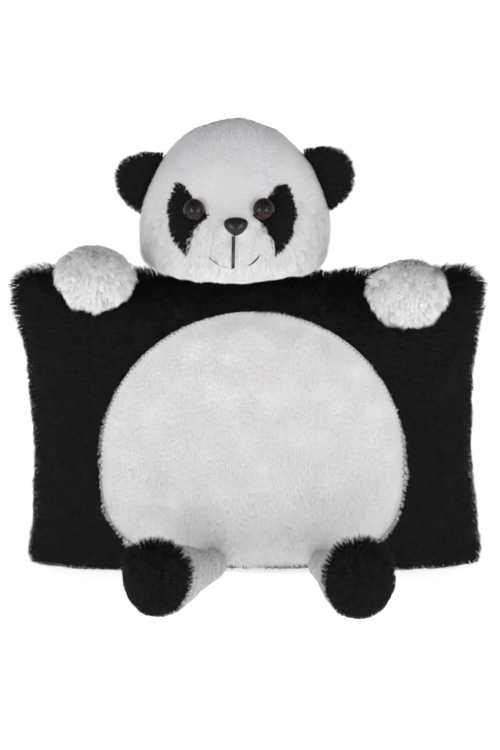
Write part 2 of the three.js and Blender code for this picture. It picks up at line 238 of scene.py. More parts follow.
def muzzle_at(x, z):
    across = (x - MUZZLE["x"]) / MUZZLE["width"]
    up = (z - MUZZLE["z"]) / MUZZLE["height"]
    return MUZZLE["out"] * np.exp(-across ** 2 - up ** 2)


def head_shape(inset, around=64, rings=40):
    h = HEAD
    profile = [(math.sin(math.pi * i / rings), -math.cos(math.pi * i / rings)) for i in range(rings + 1)]
    points, faces = turned(profile, around)
    x, y, level = points.T
    ring = np.hypot(x, y)
    spread = np.where((level > 0) | (ring < 1e-6), 1, 1 / np.sqrt(np.maximum(ring, 1e-6)))
    up = np.where(level > 0, (h["crown"] - inset) * level, -(h["jaw"] - inset) * np.sqrt(np.abs(level)))
    x = (h["half_width"] - inset) * x * spread
    y = (h["half_depth"] - inset) * y * spread
    y = y - np.where(y < 0, muzzle_at(x, up), 0)
    return np.stack([h["x"] + x, h["y"] + y, h["z"] + up], 1), faces


def sewn_down(points):
    """The head's cover with its underside drawn down to the cushion along the neck seam."""
    x, y, up = (points - [HEAD["x"], HEAD["y"], HEAD["z"]]).T
    seam = NECK_SEAM
    near = np.exp(-(x / seam["half_width"]) ** 4 - ((y - seam["y"]) / seam["half_depth"]) ** 4)
    drop = seam["down"] * near * smoothstep(-up, HEAD["jaw"] * 0.8, HEAD["jaw"] * 0.92)
    return points - np.outer(drop, [0, 0, 1])


def face_point(x, z):
    """A point on the CAD face, from X and Z measured from the head's centre."""
    ring = math.sqrt(1 - (z / HEAD["crown"]) ** 2) if z > 0 else (1 - (z / HEAD["jaw"]) ** 4) ** 0.25
    y = -HEAD["half_depth"] * math.sqrt(ring ** 2 - (x / HEAD["half_width"]) ** 2) - float(muzzle_at(x, z))
    return Vector((HEAD["x"] + x, HEAD["y"] + y, HEAD["z"] + z))


def face_frame(x, z, lift):
    step = 0.001
    across = face_point(x + step, z) - face_point(x - step, z)
    up = face_point(x, z + step) - face_point(x, z - step)
    normal = across.cross(up).normalized()
    return placement(face_point(x, z) + normal * lift, normal)


def belly_outline(extra, count, start=0.0, end=2 * math.pi):
    angle = np.linspace(start, end, count, endpoint=False)  # from straight down, towards +X
    sine, cosine = np.sin(angle), np.cos(angle)
    power = 2 / np.where(cosine < 0, BELLY["powers"][1], BELLY["powers"][0])
    height = np.where(cosine < 0, BELLY["heights"][1], BELLY["heights"][0]) + extra
    x = BELLY["x"] + (BELLY["half_width"] + extra) * np.sign(sine) * np.abs(sine) ** power
    z = BELLY["z"] - height * np.sign(cosine) * np.abs(cosine) ** power
    return np.stack([x, z], 1)


def in_belly(points, extra):
    """Below 1 inside the belly's outline, made wider all round by extra."""
    upper = points[:, 2] > BELLY["z"]
    height = np.where(upper, BELLY["heights"][1], BELLY["heights"][0]) + extra
    power = np.where(upper, BELLY["powers"][1], BELLY["powers"][0])
    x = np.abs(points[:, 0] - BELLY["x"]) / (BELLY["half_width"] + extra)
    z = np.abs(points[:, 2] - BELLY["z"]) / height
    return x ** power + z ** power


def patch_outline(side, count, scale=1.0):
    """X and Z round an eye patch: a closed curve through its corners."""
    place = EYES[side]
    corners = np.array(EYE_PATCH) / 1000
    middle = corners.mean(0)
    corners = middle + (corners - middle) * scale
    t = np.linspace(0, len(corners), count, endpoint=False)
    i, f = np.floor(t).astype(int), (t % 1)[:, None]
    a, b, c, d = [corners[(i + k) % len(corners)] for k in (-1, 0, 1, 2)]
    curve = b + 0.5 * f * (c - a + f * (2 * a - 5 * b + 4 * c - d + f * (3 * (b - c) + d - a)))
    x = HEAD["x"] + place["eye"][0] + place["outwards"] * (place["shift"] + place["stretch"] * curve[:, 0])
    outline = np.stack([x, HEAD["z"] + place["eye"][1] + curve[:, 1]], 1)
    return outline if place["outwards"] < 0 else outline[::-1]


def inside(points, outline):
    """True where a point's X and Z lie inside a closed outline."""
    x, z = points[:, 0], points[:, 2]
    result = np.zeros(len(points), bool)
    for (ax, az), (bx, bz) in zip(outline, np.roll(outline, -1, axis=0)):
        if az != bz:
            result ^= ((az > z) != (bz > z)) & (x < (bx - ax) * (z - az) / (bz - az) + ax)
    return result


def limb_profile(size, inset):
    """The (radius, height) outline of a whole limb. Its root reaches into the pile it is sewn to."""
    root, rim, pad, sleeve, tip = [size[k] for k in ("root", "rim", "pad", "sleeve", "tip")]
    profile = [(0, -size["reach"])]
    for i in range(1, 7):
        angle = math.pi / 2 * (i / 6 - 1)
        profile.append(((root - inset) * math.cos(angle), size["reach"] * math.sin(angle)))
    for i in range(1, 6):
        profile.append((root + (rim - root) * i / 5 - inset, sleeve * i / 5))
    for i in range(0, 8):
        angle = math.pi / 2 * i / 8
        height = sleeve + (tip - sleeve - inset) * math.sin(angle) ** 1.1
        profile.append(((pad - inset) * math.cos(angle), height))
    profile.append((0, tip - inset))
    return profile


def ear_frame(side):
    h = HEAD
    level, sign = EARS[side]["level"], EARS[side]["sign"]
    ring = math.sqrt(1 - (level / h["crown"]) ** 2)
    root = Vector((h["x"] + sign * h["half_width"] * ring, h["y"], h["z"] + level))
    outwards = Vector((sign * ring / h["half_width"], 0, level / h["crown"] ** 2)).normalized()
    backwards = Vector((0, 1, 0))
    axes = Matrix((outwards, backwards.cross(outwards), backwards)).transposed()
    return Matrix.Translation(root) @ axes.to_4x4()


def ear_shape(side, inset, rows=14, columns=28):
    """A stuffed half disc, its straight edge inside the pile of the head."""
    points = []
    for face in (-1, 1):
        for r in range(rows):
            out = r / (rows - 1)
            for c in range(columns):
                u = math.sin(math.pi * (c / (columns - 1) - 0.5))
                reach = (EAR["reach"] - inset - EAR["root"]) * math.sqrt(max(1 - u * u, 0))
                fullness = math.sqrt(max(1 - (0.93 * out) ** 4, 0) * max(1 - (0.93 * u) ** 4, 0))
                depth = (EAR["half_depth"] - inset * 0.6) * (0.35 + 0.65 * fullness)
                points.append((EAR["root"] + reach * out, (EAR["rise"] - inset) * u, face * depth))
    return moved(np.array(points), ear_frame(side)), shell_faces(rows, columns)


# ---- Stuffing ----


def stuffed(name, shape, voxel, cap, lumps, held=None):
    """A closed cover, remeshed and blown up as cloth under pressure, then made a little lumpy.

    No point moves more than cap, lumps is the height and the size of the lumps, and held() picks the
    points that stay in place.
    """
    obj = mesh_object(name, *shape)
    low, high = coordinates(obj).min(0), coordinates(obj).max(0)
    remesh = obj.modifiers.new("Remesh", "REMESH")
    remesh.mode = "VOXEL"
    remesh.voxel_size = voxel
    apply_modifiers(obj)
    rest = coordinates(obj)
    cloth = obj.modifiers.new("Cloth", "CLOTH")
    cloth.settings.use_pressure = True
    cloth.settings.uniform_pressure_force = PRESSURE
    cloth.settings.effector_weights.gravity = 0
    cloth.settings.tension_stiffness = 12
    if held is not None:
        group = obj.vertex_groups.new(name="held")
        group.add([int(i) for i in np.flatnonzero(held(rest))], 1, "REPLACE")
        cloth.settings.vertex_group_mass = group.name
    for number in range(1, FRAMES + 1):
        SCENE.frame_set(number)
    apply_modifiers(obj)
    shift = coordinates(obj) - rest
    distance = np.linalg.norm(shift, axis=1, keepdims=True)
    set_coordinates(obj, rest + shift * np.minimum(1, cap / np.maximum(distance, 1e-9)))
    SCENE.frame_set(1)
    smooth = obj.modifiers.new("Smooth", "SMOOTH")
    smooth.factor = 0.5
    smooth.iterations = 4
    subdivide = obj.modifiers.new("Subdivide", "SUBSURF")
    subdivide.levels = 1
    apply_modifiers(obj)
    points, normals = coordinates(obj), vertex_normals(obj)
    points = points + normals * wander(points, lumps[1], 11)[:, :1] * lumps[0]
    share = (points - points.min(0)) / (points.max(0) - points.min(0))
    set_coordinates(obj, low + share * (high - low))
    return obj


def vertex_normals(obj):
    values = np.empty(len(obj.data.vertices) * 3, np.float32)
    obj.data.vertex_normals.foreach_get("vector", values)
    return values.reshape(-1, 3).astype(float)


def only_faces(obj, name, keep):
    """A copy of obj with only the faces whose centres keep() picks."""
    mesh = obj.data
    centres = np.array([p.center for p in mesh.polygons])
    picked = np.flatnonzero(keep(centres))
    used = sorted({v for i in picked for v in mesh.polygons[int(i)].vertices})
    number = {v: i for i, v in enumerate(used)}
    faces = [tuple(number[v] for v in mesh.polygons[int(i)].vertices) for i in picked]
    return mesh_object(name, coordinates(obj)[used], faces)


def tree_of(obj):
    return BVHTree.FromPolygons(
        [tuple(p) for p in coordinates(obj)], [tuple(p.vertices) for p in obj.data.polygons]
    )


def lay_on(tree, places, lift):
    """Points standing lift proud of the front of a cover, at places given as X and Z."""
    points = []
    for x, z in places:
        hit, normal, _, _ = tree.ray_cast(Vector((x, -1, z)), Vector((0, 1, 0)))
        points.append(hit + normal * lift)
    return np.array(points)


def sewn_patch(name, tree, outline, rings, lift, edge_drop):
    """A cloth patch inside an outline of X and Z places, lying on a cover, its edge drawn down."""
    centre = outline.mean(0)
    places = [centre]
    lifts = [lift]
    for r in range(1, rings + 1):
        share = r / rings
        for place in outline:
            places.append(centre + (place - centre) * share)
            lifts.append(lift - edge_drop * smoothstep(share, 0.85, 1.0))
    base = lay_on(tree, places, 0)
    raised = lay_on(tree, places, 0.001)
    points = base + (raised - base) * (np.array(lifts)[:, None] / 0.001)
    around = len(outline)
    return mesh_object(name, points, disc_faces(rings, around))


# ---- Pile ----

FLOOR_GAP = 0.0003  # between the floor and the lowest blades
BLADE = 5  # points in one blade: two at the root, two half way up and one at the tip


def sow(obj, spacing, seed, where=None):
    """Roots and normals spread evenly over a mesh, one for each square of spacing."""
    rng = np.random.default_rng(seed)
    mesh = obj.data
    mesh.calc_loop_triangles()
    triangles = np.empty(len(mesh.loop_triangles) * 3, np.int32)
    mesh.loop_triangles.foreach_get("vertices", triangles)
    triangles = triangles.reshape(-1, 3)
    points, normals = coordinates(obj), vertex_normals(obj)
    a, b, c = [points[triangles[:, k]] for k in range(3)]
    area = np.linalg.norm(np.cross(b - a, c - a), axis=1) / 2
    total = np.cumsum(area)
    count = int(total[-1] / spacing ** 2)
    chosen = np.searchsorted(total, (np.arange(count) + rng.random(count)) / count * total[-1])
    chosen = np.minimum(chosen, len(area) - 1)
    r, s = rng.random((2, count))
    flip = r + s > 1
    r, s = np.where(flip, 1 - r, r)[:, None], np.where(flip, 1 - s, s)[:, None]
    t = 1 - r - s
    roots = a[chosen] * t + b[chosen] * r + c[chosen] * s
    n = normals[triangles[chosen]]
    facing = unit(n[:, 0] * t + n[:, 1] * r + n[:, 2] * s)
    if where is not None:
        keep = where(roots)
        roots, facing = roots[keep], facing[keep]
    return roots, facing


def tuft_of(points, size, seed):
    """The number of each point's tuft, in cells of about size with wandering borders."""
    cells = np.floor((points + wander(points, size * 2.5, seed) * size * 0.5) / size).astype(int)
    return np.unique(cells, axis=0, return_inverse=True)[1].ravel()


def gathered(points, tufts, share):
    """Points drawn together by share towards the middle of their tuft."""
    counts = np.bincount(tufts)
    middle = np.stack([np.bincount(tufts, points[:, k]) / counts for k in range(3)], 1)
    return points + (middle[tufts] - points) * share


def grow(
    name, roots, normals, comb, length, lean, width, seed,
    tuft=0.006, clump=0.45, stray=0.35, relief=0.0,
):
    """A coat of tapered blades. comb is the way the pile lies, lean its angle from upright in degrees.

    tuft is the size of a tuft. clump draws a tuft's tips together, stray spreads the blades' ways, and
    relief makes each tuft catch the light its own way.
    """
    rng = np.random.default_rng(seed)
    count = len(roots)
    way = comb + wander(roots, 0.03, seed + 1) * 0.3 + rng.normal(size=(count, 3)) * stray
    flat = unit(way - normals * np.sum(way * normals, axis=1, keepdims=True))
    uneven = 1 + 0.16 * wander(roots, 0.02, seed + 2)[:, 0]
    long = (length * uneven * rng.uniform(0.7, 1.15, count))[:, None]
    tilt = np.radians(np.broadcast_to(lean, count) + rng.normal(size=count) * 5)[:, None]
    start = unit(normals * np.cos(tilt * 0.6) + flat * np.sin(tilt * 0.6))
    bent = np.minimum(tilt * 1.3, 1.62)  # the tip lies flatter than the root, and at most just past flat
    finish = unit(normals * np.cos(bent) + flat * np.sin(bent))
    middle = roots + start * long * 0.5
    tip = middle + finish * long * 0.5
    tufts = tuft_of(roots, tuft, seed + 3)
    middle = gathered(middle, tufts, np.reshape(clump, (-1, 1)) * 0.3)
    tip = gathered(tip, tufts, np.reshape(clump, (-1, 1)))
    side = unit(np.cross(tip - roots, normals + rng.normal(size=(count, 3)) * 0.12))
    half = (side * width / 2) * rng.uniform(0.7, 1.2, (count, 1))
    foot = roots - normals * 0.0006
    corners = np.stack([foot - half, foot + half, middle - half * 0.8, middle + half * 0.8, tip], 1)
    corners[:, :, 2] = np.maximum(corners[:, :, 2], FLOOR_GAP)  # the floor presses them flat

    mesh = bpy.data.meshes.new(name)
    mesh.vertices.add(count * BLADE)
    mesh.vertices.foreach_set("co", corners.astype(np.float32).ravel())
    pattern = np.array([0, 1, 3, 2, 2, 3, 4])
    mesh.loops.add(count * len(pattern))
    mesh.loops.foreach_set("vertex_index", (np.arange(count)[:, None] * BLADE + pattern).ravel())
    mesh.polygons.add(count * 2)
    mesh.polygons.foreach_set("loop_start", (np.arange(count)[:, None] * len(pattern) + [0, 4]).ravel())
    mesh.update(calc_edges=True)
    mesh.shade_smooth()

    # How far up its blade each point lies, which the pile's material uses to paint shade low on the blade.
    along = np.tile(np.array([0, 0, 0.55, 0.55, 1], np.float32), count)
    tone = np.repeat(rng.random(count).astype(np.float32), BLADE)
    for label, values in (("along", along), ("tone", tone)):
        mesh.attributes.new(label, "FLOAT", "POINT").data.foreach_set("value", values)
    blade_normal = unit(np.cross(half, tip - foot))
    blade_normal *= np.sign(np.sum(blade_normal * normals, axis=1, keepdims=True) + 1e-9)
    facet = rng.normal(size=(tufts.max() + 1, 3))[tufts] * np.reshape(relief, (-1, 1))
    soft = unit(normals * 0.85 + blade_normal * 0.15 + facet)
    mesh.normals_split_custom_set_from_vertices(np.repeat(soft, BLADE, axis=0).tolist())

    cells = math.ceil(math.sqrt(count))
    corner = np.stack([np.arange(count) % cells, np.arange(count) // cells], 1)[:, None]
    shape = np.array([(0.1, 0.1), (0.9, 0.1), (0.9, 0.5), (0.1, 0.5), (0.1, 0.5), (0.9, 0.5), (0.5, 0.9)])
    layer = mesh.uv_layers.new(name="OFBake")
    layer.data.foreach_set("uv", ((corner + shape) / cells).astype(np.float32).ravel())

    obj = bpy.data.objects.new(name, mesh)
    SCENE.collection.objects.link(obj)
    return obj


# ---- Materials ----


class Nodes:
    """A new node material with one Principled shader, and short calls that add nodes to it."""

    def __init__(self, name):
        self.material = bpy.data.materials.new(name)
        self.material.use_nodes = True
        self.tree = self.material.node_tree
        self.shader = next(n for n in self.tree.nodes if n.type == "BSDF_PRINCIPLED")

    def set(self, **values):
        for key, value in values.items():
            self.shader.inputs[key.replace("_", " ")].default_value = value

    def add(self, kind, **values):
        node = self.tree.nodes.new("ShaderNode" + kind)
        for key, value in values.items():
            setattr(node, key, value)
        return node

    def link(self, output, socket):
        self.tree.links.new(output, socket)

    def place(self):
        return self.add("TexCoord").outputs["Object"]

    def noise(self, scale, detail=3.0, where=None):
        node = self.add("TexNoise")
        node.inputs["Scale"].default_value = scale
        node.inputs["Detail"].default_value = detail
        self.link(where or self.place(), node.inputs["Vector"])
        return node.outputs["Fac"]

    def math(self, operation, a, b):
        node = self.add("Math", operation=operation)
        for socket, value in zip(node.inputs, (a, b)):
            if isinstance(value, (int, float)):
                socket.default_value = value
            else:
                self.link(value, socket)
        return node.outputs[0]

    def attribute(self, name):
        return self.add("Attribute", attribute_name=name).outputs["Fac"]

    def ramp(self, fac, stops):
        node = self.add("ValToRGB")
        elements = node.color_ramp.elements
        elements[0].position, elements[0].color = stops[0][0], (*stops[0][1], 1)
        elements[1].position, elements[1].color = stops[-1][0], (*stops[-1][1], 1)
        for position, colour in stops[1:-1]:
            elements.new(position).color = (*colour, 1)
        self.link(fac, node.inputs[0])
        return node.outputs[0]

    def bump(self, height, distance, strength=1.0):
        node = self.add("Bump")
        node.inputs["Distance"].default_value = distance
        node.inputs["Strength"].default_value = strength
        self.link(height, node.inputs["Height"])
        self.link(node.outputs[0], self.shader.inputs["Normal"])


def pile_material(name, shaded_root, middle, tip, sheen, gloss):
    """Blades darker at the root, a painted shade down in the pile, with each blade and each patch of the
    coat a slightly different shade.
    """
    m = Nodes(name)
    patch = m.math("MULTIPLY", m.noise(28.0), 0.30)
    blade = m.math("MULTIPLY", m.attribute("tone"), 0.22)
    along = m.math("MULTIPLY", m.attribute("along"), 0.75)
    shade = m.math("SUBTRACT", m.math("ADD", along, m.math("ADD", patch, blade)), 0.10)
    # The ramp paints shade at the roots: darkest low on each blade, lightest at the tip.
    m.link(m.ramp(shade, [(0.0, shaded_root), (0.5, middle), (1.0, tip)]), m.shader.inputs["Base Color"])
    m.set(Roughness=0.7, Sheen_Weight=sheen, Sheen_Roughness=0.45, Specular_IOR_Level=gloss)
    return m.material


def cover_material(name, low, high):
    """The knitted backing that the pile grows from."""
    m = Nodes(name)
    knit = m.noise(900.0, 2.0)
    mottled = m.math("ADD", m.math("MULTIPLY", m.noise(40.0), 0.6), m.math("MULTIPLY", knit, 0.4))
    m.link(m.ramp(mottled, [(0.25, low), (0.75, high)]), m.shader.inputs["Base Color"])
    m.set(Roughness=0.95, Sheen_Weight=0.2, Specular_IOR_Level=0.1)
    m.bump(knit, 0.0004)
    return m.material


def thread_material(name):
    m = Nodes(name)
    wave = m.add("TexWave", bands_direction="DIAGONAL")
    wave.inputs["Scale"].default_value = 500.0
    m.link(m.place(), wave.inputs["Vector"])
    colour = m.ramp(wave.outputs["Fac"], [(0.0, (0.002, 0.002, 0.002)), (1.0, (0.010, 0.009, 0.009))])
    m.link(colour, m.shader.inputs["Base Color"])
    m.set(Roughness=0.7, Specular_IOR_Level=0.2)
    m.bump(wave.outputs["Fac"], 0.0002)
    return m.material


def moulded_material(name, low, high, roughness, scale=120.0):
    """Moulded plastic with a faint unevenness in its colour and gloss."""
    m = Nodes(name)
    m.set(Specular_IOR_Level=0.4)
    uneven = m.noise(scale, 4.0)
    m.link(m.ramp(uneven, [(0.3, low), (0.7, high)]), m.shader.inputs["Base Color"])
    rough = m.add("MapRange")
    rough.inputs["To Min"].default_value = roughness * 0.8
    rough.inputs["To Max"].default_value = roughness * 1.3
    m.link(uneven, rough.inputs["Value"])
    m.link(rough.outputs[0], m.shader.inputs["Roughness"])
    m.bump(uneven, 0.0001)
    return m.material


def eye_material():
    """A brown iris with a black pupil under a clear gloss, round the lens's own Z axis."""
    m = Nodes("eye_brown_lens")
    spread = m.add("SeparateXYZ")
    m.link(m.place(), spread.inputs[0])
    x, y = spread.outputs["X"], spread.outputs["Y"]
    radius = m.math("SQRT", m.math("ADD", m.math("MULTIPLY", x, x), m.math("MULTIPLY", y, y)), 0)
    streaks = m.math("MULTIPLY", m.noise(700.0, 4.0), 0.0008)
    share = m.math("DIVIDE", m.math("ADD", radius, streaks), LENS["radius"])
    pupil, iris, rim = (0.003, 0.003, 0.003), (0.022, 0.0075, 0.005), (0.009, 0.003, 0.002)
    stops = [(0.0, pupil), (0.55, pupil), (0.64, (0.013, 0.005, 0.003)), (0.8, iris), (1.0, rim)]
    m.link(m.ramp(share, stops), m.shader.inputs["Base Color"])
    m.set(Roughness=0.13, Specular_IOR_Level=0.28)
    return m.material


WHITE_PILE = pile_material(
    "white_pile", (0.74, 0.73, 0.74), (0.86, 0.85, 0.86), (0.94, 0.93, 0.93),
    sheen=0.2, gloss=0.25,
)
BLACK_PILE = pile_material(
    "black_pile", (0.001, 0.001, 0.001), (0.003, 0.0028, 0.003), (0.007, 0.0065, 0.007),
    sheen=0.0, gloss=0.20,
)
WHITE_COVER = cover_material("white_cover", (0.84, 0.83, 0.83), (0.92, 0.91, 0.91))
BLACK_COVER = cover_material("black_cover", (0.002, 0.002, 0.002), (0.005, 0.005, 0.005))
THREAD = thread_material("black_thread")
EYE_LENS = eye_material()
NOSE_PLASTIC = moulded_material("black_nose", (0.003, 0.003, 0.003), (0.007, 0.007, 0.007), 0.2)
STEM_PLASTIC = moulded_material("stem_plastic", (0.008, 0.008, 0.008), (0.015, 0.015, 0.015), 0.35)
WASHER_PLASTIC = moulded_material("washer_plastic", (0.70, 0.68, 0.62), (0.80, 0.78, 0.72), 0.45)


def finish_piece(obj, material, body=None, bend=None, stands_for=()):
    """Gives a piece its material and hides the CAD nodes it stands for. With a body the piece moves with
    it; with a bend it is only fixed in place, and the bend's places are not used.
    """
    obj.data.materials.clear()
    obj.data.materials.append(material)
    if bend is not None:
        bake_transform(obj)
    else:
        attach(obj, body)
    if stands_for:
        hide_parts(*stands_for)
    return obj


# ---- Cushion ----


def build_cushion():
    def near_seam(points):
        return np.abs(points[:, 1] - CUSHION["seam"]) < 0.0045

    shape = cushion_shape(INSET["cushion"])
    cover = stuffed(
        "cushion_cover", shape, voxel=0.006, cap=0.007, lumps=(0.0012, 0.05), held=near_seam
    )
    points = coordinates(cover)
    points[:, 2] = np.maximum(points[:, 2], 0.0035)
    set_coordinates(cover, points)
    stands_for = ("body_front_panel", "body_back_panel", "body_filling")
    finish_piece(cover, BLACK_COVER, "cushion", stands_for=stands_for)
    return cover


def cushion_comb(points):
    """Outwards from the middle and downwards."""
    x = points[:, 0] / CUSHION["half_width"]
    z = (points[:, 2] - CUSHION["middle"]) / CUSHION["half_height"]
    return np.stack([x, np.zeros(len(x)), 0.9 * z - 0.6], 1)


def cushion_pile(cover):
    seam = CUSHION["seam"]

    def in_front(roots):
        across = np.abs(roots[:, 0] - BELLY["x"])
        fringed = (roots[:, 2] < 0.012) & (across < BELLY["half_width"] * 0.7)  # by the belly's lower edge
        return (roots[:, 1] < seam) & (in_belly(roots, -0.001) > 1) & ~fringed

    def at_back(roots):
        return roots[:, 1] >= seam

    for name, where, spacing, seed in (
        ("cushion_front_pile", in_front, 0.00135, 21),
        ("cushion_back_pile", at_back, 0.0017, 22),
    ):
        roots, normals = sow(cover, spacing, seed, where)
        edge = 1 - smoothstep(np.abs(roots[:, 1] - seam), 0.004, 0.035)
        top = smoothstep(roots[:, 2], 0.20, 0.29)
        length = 0.0095 + 0.003 * edge + 0.002 * edge * top
        length = np.minimum(length, 0.008 + roots[:, 2] * 0.2)
        lean = 62 - 18 * edge * top
        width = spacing * 0.48
        coat = grow(name, roots, normals, cushion_comb(roots), length, lean, width, seed, relief=0.15)
        finish_piece(coat, BLACK_PILE, "cushion")


def build_belly(cover):
    tree = tree_of(cover)
    outline = belly_outline(-0.001, 120)
    patch = sewn_patch("belly_cover", tree, outline, rings=22, lift=0.0025, edge_drop=0.0022)
    finish_piece(patch, WHITE_COVER, "cushion", stands_for=("belly_patch",))
    roots, normals = sow(patch, 0.00115, 31)
    comb = np.stack([roots[:, 0] / 0.28, np.zeros(len(roots)), -0.5 + (roots[:, 2] - BELLY["z"]) * 0.5], 1)
    edge = smoothstep(in_belly(roots, 0), 0.80, 1.0)
    upper = smoothstep(roots[:, 2], BELLY["z"], BELLY["z"] + 0.08)
    lower = smoothstep(-roots[:, 2], -0.06, -0.02)
    length = 0.0080 - 0.0035 * edge * upper + 0.0045 * edge * lower
    relief = 0.04 + 0.10 * smoothstep(-roots[:, 2], -0.16, -0.05)
    coat = grow(
        "belly_pile", roots, normals, comb, length, lean=70, width=0.0005, seed=32,
        tuft=0.004, clump=0.15, stray=0.18, relief=relief,
    )
    finish_piece(coat, WHITE_PILE, "cushion")

    count = 400
    swing = np.where(np.arange(count) % 2 == 0, 0.0014, -0.0016)
    wide = belly_outline(-0.0018, count, 0.03, 2 * math.pi - 0.03)
    middle = np.array([BELLY["x"], BELLY["z"]])
    places = wide + unit(wide - middle) * swing[:, None]
    line = lay_on(tree, places, 0.0052)
    stitch = tube("belly_stitch", line, 0.00042, 5)
    finish_piece(stitch, THREAD, "cushion", stands_for=("belly_stitching",))


def tube(name, line, radius, around):
    """A round thread along a line of points, closed at both ends."""
    line = np.array(line)
    ahead = unit(np.gradient(line, axis=0))
    side = unit(np.cross(ahead, [0, -1, 0.01]))
    other = np.cross(ahead, side)
    angles = np.linspace(0, 2 * math.pi, around, endpoint=False)
    radii = np.broadcast_to(radius, len(line))[:, None, None]
    ring = np.cos(angles)[None, :, None] * side[:, None] + np.sin(angles)[None, :, None] * other[:, None]
    points = (line[:, None] + radii * ring).reshape(-1, 3)
    faces = grid_faces(len(line), around, wrap=True)
    faces += [tuple(range(around))[::-1], tuple(len(points) - around + i for i in range(around))]
    return mesh_object(name, points, faces)


# ---- Head ----

HEAD_BEND = ("cushion", "head", *NECK)


def eye_distance(points):
    """How far each point is, across the face, from the nearest plastic eye or nose."""
    nearest = np.full(len(points), 1.0)
    for side in EYES.values():
        x, z = side["eye"]
        here = np.hypot(points[:, 0] - HEAD["x"] - x, points[:, 2] - HEAD["z"] - z)
        nearest = np.minimum(nearest, here - LENS["radius"])
    x, z = NOSE["x"], NOSE["z"]
    here = np.hypot(points[:, 0] - HEAD["x"] - x, (points[:, 2] - HEAD["z"] - z) * 1.3)
    nearest = np.minimum(nearest, here - NOSE["half_width"])
    return np.where(points[:, 1] < HEAD["y"], nearest, 1.0)


def head_comb(points):
    """Away from the bridge of the nose, and more and more downwards."""
    x = (points[:, 0] - HEAD["x"]) / 0.09
    z = (points[:, 2] - HEAD["z"] - 0.02) / 0.09
    down = 0.35 + 0.5 * smoothstep(-z, -0.2, 0.5)
    back = smoothstep(points[:, 1], -0.02, 0.05)
    return np.stack([x * (1 - 0.7 * back), np.full(len(x), 0.15), z * (1 - back) - down - back], 1)


def build_head():
    shape = head_shape(INSET["head"])
    cover = stuffed("head_cover", shape, voxel=0.005, cap=0.004, lumps=(0.0008, 0.04))
    set_coordinates(cover, sewn_down(coordinates(cover)))
    stands_for = ("head_face_panel", "head_back_panel", "head_filling")
    finish_piece(cover, WHITE_COVER, bend=HEAD_BEND, stands_for=stands_for)

    def bare(roots):
        patched = np.zeros(len(roots), bool)
        for side in EYES:
            patched |= inside(roots, patch_outline(side, 60, PATCH_CUT))
        return (roots[:, 1] < 0) & patched | (eye_distance(roots) < 0)

    def on_face(roots):
        return (roots[:, 1] < HEAD["y"]) & ~bare(roots)

    def behind(roots):
        return roots[:, 1] >= HEAD["y"]

    for name, where, spacing, seed in (
        ("head_face_pile", on_face, 0.00095, 41),
        ("head_back_pile", behind, 0.0013, 42),
    ):
        roots, normals = sow(cover, spacing, seed, where)
        height = (roots[:, 2] - HEAD["z"]) / 0.1
        cheek = smoothstep(-height, -0.5, 0.1)
        muzzle = muzzle_at(roots[:, 0] - HEAD["x"], roots[:, 2] - HEAD["z"]) / MUZZLE["out"]
        jaw = smoothstep(-height, 0.25, 0.48)
        length = 0.0062 + 0.0058 * cheek * (1 - 0.85 * muzzle) * (1 - 0.75 * jaw)
        close = smoothstep(eye_distance(roots), 0.0, 0.010)
        length = length * (0.32 + 0.68 * close)
        lean = 72 - 12 * cheek
        tufty = cheek * (1 - muzzle)
        coat = grow(
            name, roots, normals, head_comb(roots), length, lean, spacing * 0.5, seed,
            tuft=0.005, clump=0.15 + 0.25 * tufty, stray=0.22, relief=0.03 + 0.13 * tufty,
        )
        finish_piece(coat, WHITE_PILE, bend=HEAD_BEND)
    return cover


def build_eye_patches(tree):
    for side in EYES:
        outline = patch_outline(side, 60, PATCH_CUT)
        name = f"eye_patch_{side}_cover"
        patch = sewn_patch(name, tree, outline, rings=8, lift=0.0018, edge_drop=0.0016)
        finish_piece(
            patch, BLACK_COVER, bend=HEAD_BEND, stands_for=(f"eye_patch_{side}",)
        )
        centre = outline.mean(0)
        roots, normals = sow(patch, 0.0008, 51 if side == "left" else 52)
        keep = eye_distance(roots) > 0
        roots, normals = roots[keep], normals[keep]
        out = (roots[:, [0, 2]] - centre) / [0.017, 0.032]
        comb = np.stack([out[:, 0] * 0.9, np.zeros(len(roots)), out[:, 1] * 0.9 - 0.25], 1)
        length = 0.0095 * (0.30 + 0.70 * smoothstep(eye_distance(roots), 0.0, 0.008))
        coat = grow(
            f"eye_patch_{side}_pile", roots, normals, comb, length, lean=64, width=0.0006, seed=53,
            tuft=0.0034, clump=0.85, stray=0.2,
        )
        finish_piece(coat, BLACK_PILE, bend=HEAD_BEND)


def build_eyes():
    for side, places in EYES.items():
        radius, dome = LENS["radius"], LENS["dome"]
        profile = [(0, -LENS["wall"]), (radius * 0.86, -LENS["wall"]), (radius * 0.97, -0.0005)]
        steps = 14
        for i in range(steps):
            angle = math.pi / 2 * i / steps
            profile.append((radius * math.cos(angle), 0.0009 + dome * math.sin(angle)))
        profile.append((0, 0.0009 + dome))
        lens = mesh_object(f"eye_{side}_dome", *turned(profile, 40))
        lens.matrix_world = face_frame(*places["eye"], LENS["lift"])
        node = f"eye_{side}_lens"
        finish_piece(lens, EYE_LENS, "head", stands_for=(node,))


